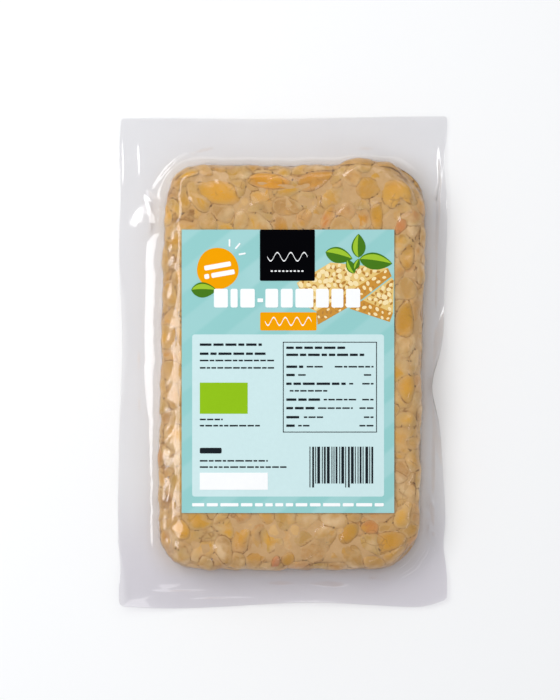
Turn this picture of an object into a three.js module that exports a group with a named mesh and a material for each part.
// A vacuum pack of tempeh, lying on its flat back with the label up.
//
// Millimetres, +Z up. The origin is the middle of the pack's footprint, on the surface it lies on.
// The top of the pack points along +Y. Two pieces: the sealed pack, which is one closed solid of the
// film and the block it is shrunk onto, and the label stuck on its front.

import * as THREE from 'three';
import * as BufferGeometryUtils from 'three/addons/utils/BufferGeometryUtils.js';

// The sealed film round the block.
const PACK_WIDTH = 117;
const PACK_LENGTH = 175;
const PACK_CORNER = 1.5;
const SEAL_THICKNESS = 0.4;

// The block of tempeh under the film: a rounded slab that leans a little off the pack's axis.
const BLOCK_WIDTH = 93;
const BLOCK_LENGTH = 144;
const BLOCK_CORNER = 14;
const BLOCK_TOP = 15;
const BLOCK_CENTRE = { x: 3.3, y: -1.4 };
const BLOCK_LEAN = 0.02;
const SHOULDER = 5.5;

// The film leaves the block's wall low down and runs out to the seal. Each of these rings is an
// outset from the block's outline and a height. The pocket is slack at the corners and on the left,
// where the film stands further away from the block.
const WALL = { outset: 0.75, height: 6.0 };
const POCKET = { outset: 2.2, height: 2.2 };
const FOOT = { outset: 3.5, height: SEAL_THICKNESS };
const CORNER_SLACK = 3.0;
const LEFT_SLACK = 1.5;

// The beans press into the film as shallow lumps, but not under the label. Two beans stand out of
// the block's upper edge, at these places along it.
const LUMP_DEPTH = 0.7;
const LUMP_WAVE = { x: 0.62, y: 0.53 };
const LUMP_BEND = 1.0;
const LUMP_RUN_IN = 5;
const BULGES = [
  { x: 23.5, reach: 5.0, out: 2.3 },
  { x: 33.0, reach: 3.5, out: 1.7 },
];

// The label.
const LABEL_WIDTH = 75;
const LABEL_LENGTH = 100;
const LABEL_THICKNESS = 0.3;
const LABEL_CENTRE = { x: 1.9, y: -3.0 };
const LABEL_MARGIN = 1;

// Where the vacuum pulls the sealed edges in, as smooth dips along each side.
const EDGE_DIPS = {
  right: [
    { at: -8, reach: 11, depth: 3.4 },
    { at: -20, reach: 32, depth: 2.3 },
    { at: 25, reach: 16, depth: 0.7 },
    { at: 70, reach: 8, depth: 1.1 },
    { at: -68, reach: 7, depth: 1.1 },
  ],
  left: [
    { at: 6, reach: 26, depth: 1.5 },
    { at: 62, reach: 14, depth: 0.9 },
    { at: 88, reach: 9, depth: 0.9 },
    { at: -74, reach: 8, depth: 0.9 },
    { at: -90, reach: 4, depth: 1.6 },
  ],
  top: [
    { at: -12, reach: 40, depth: 1.0 },
    { at: -60, reach: 14, depth: 0.5 },
  ],
  bottom: [
    { at: 10, reach: 32, depth: 2.3 },
    { at: -60, reach: 12, depth: 1.0 },
    { at: 61, reach: 8, depth: 3.6 },
  ],
};

// Where the free film curls up off the surface, as smooth humps round points of the outline.
const CURLS = [
  { x: 58, y: -9, reach: 19, rise: 4.2 },
  { x: -58, y: -87, reach: 15, rise: 3.0 },
  { x: 58, y: -87, reach: 13, rise: 2.6 },
  { x: -58, y: 8, reach: 24, rise: 1.6 },
  { x: -14, y: 87, reach: 34, rise: 1.2 },
  { x: 12, y: -87, reach: 24, rise: 1.4 },
  { x: 58, y: 60, reach: 16, rise: 1.0 },
];

// Mesh steps along a corner, a long side and a short side of every ring.
const CORNER_STEPS = 8;
const LONG_STEPS = 36;
const SHORT_STEPS = 26;

// Rings of the block from the middle of its top out to its wall, as outsets from its outline.
const PLATEAU_OUTSETS = [-41, -31, -22, -15, -10];
const SHOULDER_RINGS = 4;
const FLANGE_RINGS = 4;

function bell(distance, reach) {
  return Math.exp(-((distance / reach) ** 2));
}

function smoothStep(value) {
  const t = Math.min(Math.max(value, 0), 1);
  return t * t * (3 - 2 * t);
}

function dipAt(dips, along) {
  let depth = 0;
  for (const dip of dips) depth += dip.depth * bell(along - dip.at, dip.reach);
  return depth;
}

// A rounded rectangle as a list of points, counter-clockwise from the right end of the top corner.
// Every ring has the same number of points, so that two rings join point to point.
function roundedRing(width, length, radius) {
  const quarters = [
    { x: 1, y: 1, steps: SHORT_STEPS },
    { x: -1, y: 1, steps: LONG_STEPS },
    { x: -1, y: -1, steps: SHORT_STEPS },
    { x: 1, y: -1, steps: LONG_STEPS },
  ];
  const arcs = quarters.map((quarter, index) => {
    const centreX = quarter.x * (width / 2 - radius);
    const centreY = quarter.y * (length / 2 - radius);
    const arc = [];
    for (let step = 0; step <= CORNER_STEPS; step++) {
      const turn = step / CORNER_STEPS;
      const angle = (index + turn) * Math.PI / 2;
      const x = centreX + radius * Math.cos(angle);
      const y = centreY + radius * Math.sin(angle);
      arc.push({ x, y, corner: Math.sin(turn * Math.PI) });
    }
    return arc;
  });
  const points = [];
  arcs.forEach((arc, index) => {
    points.push(...arc);
    const from = arc[CORNER_STEPS];
    const to = arcs[(index + 1) % arcs.length][0];
    const steps = quarters[index].steps;
    for (let step = 1; step < steps; step++) {
      const part = step / steps;
      const x = from.x + (to.x - from.x) * part;
      const y = from.y + (to.y - from.y) * part;
      points.push({ x, y, corner: 0 });
    }
  });
  return points;
}

// A ring round the block, grown outwards by an outset and by a share of the pocket's slack.
function blockRing(outset, slackShare = 0) {
  const radius = Math.max(BLOCK_CORNER + outset, 2);
  const ring = roundedRing(BLOCK_WIDTH + 2 * outset, BLOCK_LENGTH + 2 * outset, radius);
  return ring.map((point) => {
    const corner = slackShare * CORNER_SLACK * point.corner * Math.SQRT1_2;
    const left = slackShare * LEFT_SLACK * smoothStep(-2 * point.x / BLOCK_WIDTH);
    const y = point.y + corner * Math.sign(point.y);
    const x = point.x + corner * Math.sign(point.x) - left + BLOCK_LEAN * y;
    return { x: x + BLOCK_CENTRE.x, y: y + BLOCK_CENTRE.y };
  });
}

// The pack's outline, with its edges pulled in.
function outlineRing() {
  const ring = roundedRing(PACK_WIDTH, PACK_LENGTH, PACK_CORNER);
  return ring.map((point) => {
    const sideDips = point.x > 0 ? EDGE_DIPS.right : EDGE_DIPS.left;
    const endDips = point.y > 0 ? EDGE_DIPS.top : EDGE_DIPS.bottom;
    const inX = dipAt(sideDips, point.y) * smoothStep(2 * Math.abs(point.x) / PACK_WIDTH);
    const inY = dipAt(endDips, point.x) * smoothStep(2 * Math.abs(point.y) / PACK_LENGTH);
    return { x: point.x - Math.sign(point.x) * inX, y: point.y - Math.sign(point.y) * inY };
  });
}

// How far the free film stands off the surface: nothing at the block, most at the outline.
function curlAt(point, run) {
  let rise = 0;
  for (const curl of CURLS) {
    rise += curl.rise * bell(Math.hypot(point.x - curl.x, point.y - curl.y), curl.reach);
  }
  return rise * run * run;
}

// How much a point of the block's skin may be lumpy: not at all under the label.
function lumpShare(point) {
  const beyondX = Math.abs(point.x - LABEL_CENTRE.x) - LABEL_WIDTH / 2 - LABEL_MARGIN;
  const beyondY = Math.abs(point.y - LABEL_CENTRE.y) - LABEL_LENGTH / 2 - LABEL_MARGIN;
  return smoothStep(Math.max(beyondX, beyondY) / LUMP_RUN_IN);
}

function lumpAt(point) {
  const alongX = LUMP_WAVE.x * point.x;
  const alongY = LUMP_WAVE.y * point.y;
  const wave = Math.sin(alongX + LUMP_BEND * Math.sin(alongY));
  const cross = Math.cos(alongY + LUMP_BEND * Math.sin(alongX));
  return LUMP_DEPTH * (0.5 + 0.5 * wave * cross);
}

// Beans that stand out of the block's upper edge push its wall outwards.
function bulgeAt(point) {
  if (point.y < BLOCK_CENTRE.y + BLOCK_LENGTH / 2 - SHOULDER) return 0;
  let out = 0;
  for (const bulge of BULGES) out += bulge.out * bell(point.x - BLOCK_CENTRE.x - bulge.x, bulge.reach);
  return out;
}

function skinRing(outset, height, bulgeShare = 0) {
  return blockRing(outset).map((point) => {
    const y = point.y + bulgeShare * bulgeAt(point);
    return new THREE.Vector3(point.x, y, height - lumpAt(point) * lumpShare(point));
  });
}

// The block's top: a plateau in the middle and a rounded shoulder down to the wall.
function blockRings() {
  const rings = PLATEAU_OUTSETS.map((outset) => skinRing(outset, BLOCK_TOP));
  for (let step = 1; step <= SHOULDER_RINGS; step++) {
    const angle = (step / SHOULDER_RINGS) * Math.PI / 2;
    const outset = SHOULDER * (Math.sin(angle) - 1);
    const height = BLOCK_TOP - SHOULDER * (1 - Math.cos(angle));
    rings.push(skinRing(outset, height, step / SHOULDER_RINGS));
  }
  rings.push(skinRing(WALL.outset, WALL.height, 1));
  return rings;
}

// The film's foot round the block, where it turns out to the flat seal.
function footRings() {
  const pocket = blockRing(POCKET.outset, 0.5);
  const foot = blockRing(FOOT.outset, 1);
  return [
    pocket.map((point) => new THREE.Vector3(point.x, point.y, POCKET.height)),
    foot.map((point) => new THREE.Vector3(point.x, point.y, FOOT.height)),
  ];
}

// One ring of the seal, between the foot round the block (run 0) and the pack's outline (run 1).
function flangeRing(run, lift) {
  const foot = blockRing(FOOT.outset, 1);
  const outline = outlineRing();
  return foot.map((inner, index) => {
    const x = inner.x + (outline[index].x - inner.x) * run;
    const y = inner.y + (outline[index].y - inner.y) * run;
    return new THREE.Vector3(x, y, curlAt({ x, y }, run) + lift);
  });
}

function flangeRings(lift) {
  const rings = [];
  for (let step = 1; step <= FLANGE_RINGS; step++) rings.push(flangeRing(step / FLANGE_RINGS, lift));
  return rings;
}

// A closed skin over rings that run from the middle of the top, round the edge, to the middle below.
function closedSkin(topCentre, rings, bottomCentre) {
  const positions = [topCentre, ...rings.flat(), bottomCentre].flatMap((point) => point.toArray());
  const count = rings[0].length;
  const last = rings.length - 1;
  const at = (ring, index) => 1 + ring * count + (index % count);
  const bottom = 1 + rings.length * count;
  const faces = [];
  for (let index = 0; index < count; index++) {
    faces.push(0, at(0, index), at(0, index + 1));
    for (let ring = 0; ring < last; ring++) {
      faces.push(at(ring, index), at(ring + 1, index), at(ring + 1, index + 1));
      faces.push(at(ring, index), at(ring + 1, index + 1), at(ring, index + 1));
    }
    faces.push(at(last, index), bottom, at(last, index + 1));
  }
  const geometry = new THREE.BufferGeometry();
  geometry.setAttribute('position', new THREE.Float32BufferAttribute(positions, 3));
  geometry.setIndex(faces);
  const merged = BufferGeometryUtils.mergeVertices(geometry);
  merged.computeVertexNormals();
  return merged;
}

function sealedPack() {
  const above = flangeRings(SEAL_THICKNESS);
  const below = flangeRings(0).reverse();
  const rings = [...blockRings(), ...footRings(), ...above, ...below];
  const topCentre = new THREE.Vector3(BLOCK_CENTRE.x, BLOCK_CENTRE.y, BLOCK_TOP);
  const bottomCentre = new THREE.Vector3(BLOCK_CENTRE.x, BLOCK_CENTRE.y, 0);
  const geometry = closedSkin(topCentre, rings, bottomCentre);
  const material = new THREE.MeshStandardMaterial({ color: 0xc8a06a, roughness: 0.3, metalness: 0 });
  const mesh = new THREE.Mesh(geometry, material);
  mesh.name = 'sealed_pack';
  return mesh;
}

function label() {
  const geometry = new THREE.BoxGeometry(LABEL_WIDTH, LABEL_LENGTH, LABEL_THICKNESS);
  const material = new THREE.MeshStandardMaterial({ color: 0x9dd6d7, roughness: 0.45, metalness: 0 });
  const mesh = new THREE.Mesh(geometry, material);
  mesh.position.set(LABEL_CENTRE.x, LABEL_CENTRE.y, BLOCK_TOP + LABEL_THICKNESS / 2);
  mesh.name = 'label';
  return mesh;
}

// Puts the pieces' common box in the middle of X and Y, on the surface.
function centred(group) {
  const box = new THREE.Box3().setFromObject(group);
  const centre = box.getCenter(new THREE.Vector3());
  group.position.set(-centre.x, -centre.y, 0);
  return group;
}

const tempehPack = new THREE.Group();
tempehPack.add(sealedPack());
tempehPack.add(label());

export default centred(tempehPack);
